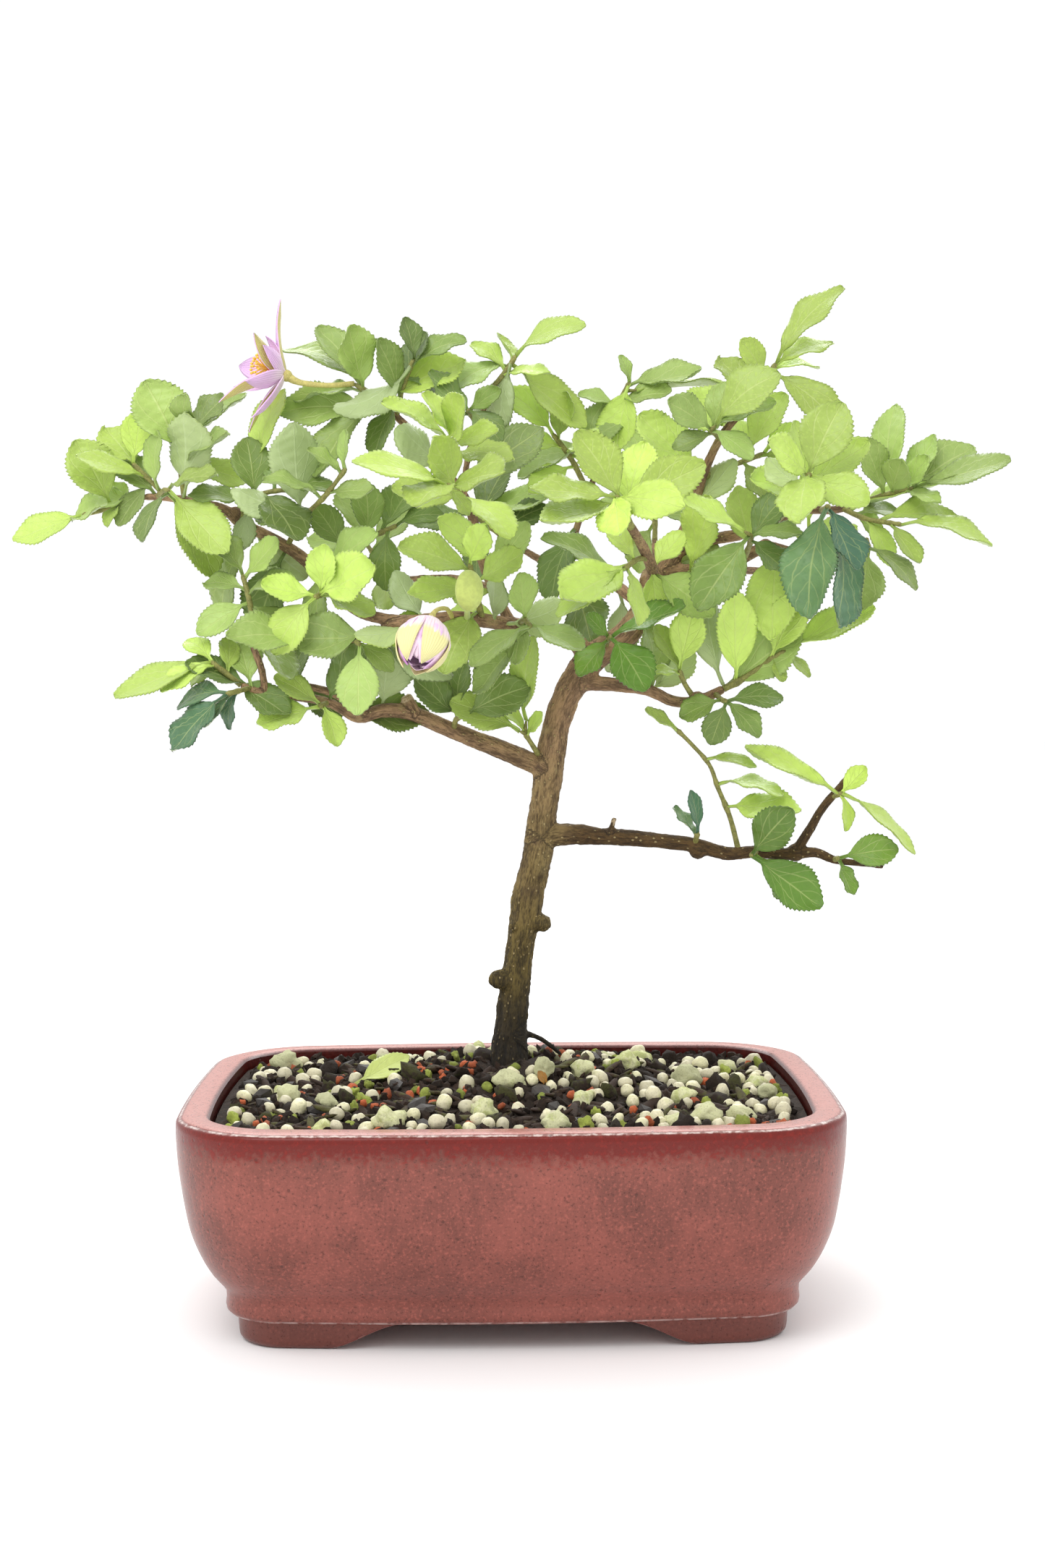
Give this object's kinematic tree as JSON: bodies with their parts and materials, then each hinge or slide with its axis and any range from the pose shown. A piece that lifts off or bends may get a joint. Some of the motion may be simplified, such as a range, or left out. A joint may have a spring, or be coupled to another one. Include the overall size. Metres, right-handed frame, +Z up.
{
  "type": "flowering bonsai tree in a pot",
  "caption": "Small flowering tree trained as a bonsai, with toothed leaves and a star-shaped bloom, rooted in grit in a footed rectangular glazed pot.",
  "frame": {"origin": "centre of the plant's and pot's box on the surface under the pot's feet", "axes": "+Z up; +X along the pot's length and the crown's spread, to the viewer's right; -Y is the front"},
  "size_m": [0.3364, 0.1674, 0.334],
  "materials": {
    "glaze": "speckled mauve-brown gloss glaze",
    "screen_plastic": "moulded black",
    "earth": "loose damp grit and pellets",
    "bark": "rough ridged bark",
    "petals": "soft and velvety",
    "petal_cream": "soft and velvety",
    "bud_green": "soft and downy",
    "fallen_leaf": "dry leaf",
    "dead_leaf": "dry leaf",
    "leaf_young": "young leaf, slightly downy",
    "leaf_bright": "leaf with a dull sheen",
    "leaf_mid": "leaf with a dull sheen",
    "leaf_deep": "leaf with a dull sheen",
    "leaf_blue": "leaf with a dull sheen"
  },
  "bodies": {
    "root": {"dead_leaf": "dead_leaf", "drain_screen_left": "screen_plastic", "drain_screen_right": "screen_plastic", "fallen_leaf": "fallen_leaf", "flower_bud": "bud_green", "half_open_flower": "petal_cream", "open_flower": "petals", "pot": "glaze", "soil": "earth", "stem_axil": "leaf_bright", "stem_back_centre": "leaf_mid", "stem_back_left": "leaf_mid", "stem_back_right": "leaf_bright", "stem_behind": "leaf_deep", "stem_bud": "leaf_bright", "stem_crown_mid": "leaf_mid", "stem_crown_side": "leaf_bright", "stem_far_left": "leaf_mid", "stem_flower": "leaf_mid", "stem_front_bright": "leaf_young", "stem_front_low": "leaf_bright", "stem_front_yellow": "leaf_young", "stem_left_arch": "leaf_mid", "stem_left_crown": "leaf_young", "stem_left_drop": "leaf_bright", "stem_left_face": "leaf_bright", "stem_left_inner": "leaf_mid", "stem_left_mid": "leaf_deep", "stem_left_tip": "leaf_young", "stem_left_up": "leaf_mid", "stem_left_upright": "leaf_mid", "stem_low_cut": "leaf_young", "stem_low_fan": "leaf_mid", "stem_low_left_drop": "leaf_blue", "stem_low_left_hang": "leaf_bright", "stem_low_left_in": "leaf_deep", "stem_low_left_tip": "leaf_bright", "stem_low_small": "leaf_blue", "stem_low_thin": "leaf_bright", "stem_low_tip": "leaf_mid", "stem_mid_left": "leaf_deep", "stem_mid_low": "leaf_mid", "stem_right_blue": "leaf_blue", "stem_right_front": "leaf_bright", "stem_right_high_end": "leaf_mid", "stem_right_inner": "leaf_deep", "stem_right_low": "leaf_bright", "stem_right_mid_low": "leaf_deep", "stem_right_mid_tip": "leaf_bright", "stem_right_mid_up": "leaf_bright", "stem_right_tip": "leaf_mid", "stem_top_back": "leaf_mid", "stem_top_back_low": "leaf_bright", "stem_top_front": "leaf_young", "stem_top_low": "leaf_deep", "stem_top_mid": "leaf_deep", "stem_top_right": "leaf_young", "stem_top_small": "leaf_bright", "stem_trunk_face": "leaf_deep", "wood": "bark"}
  },
  "joints": []
}
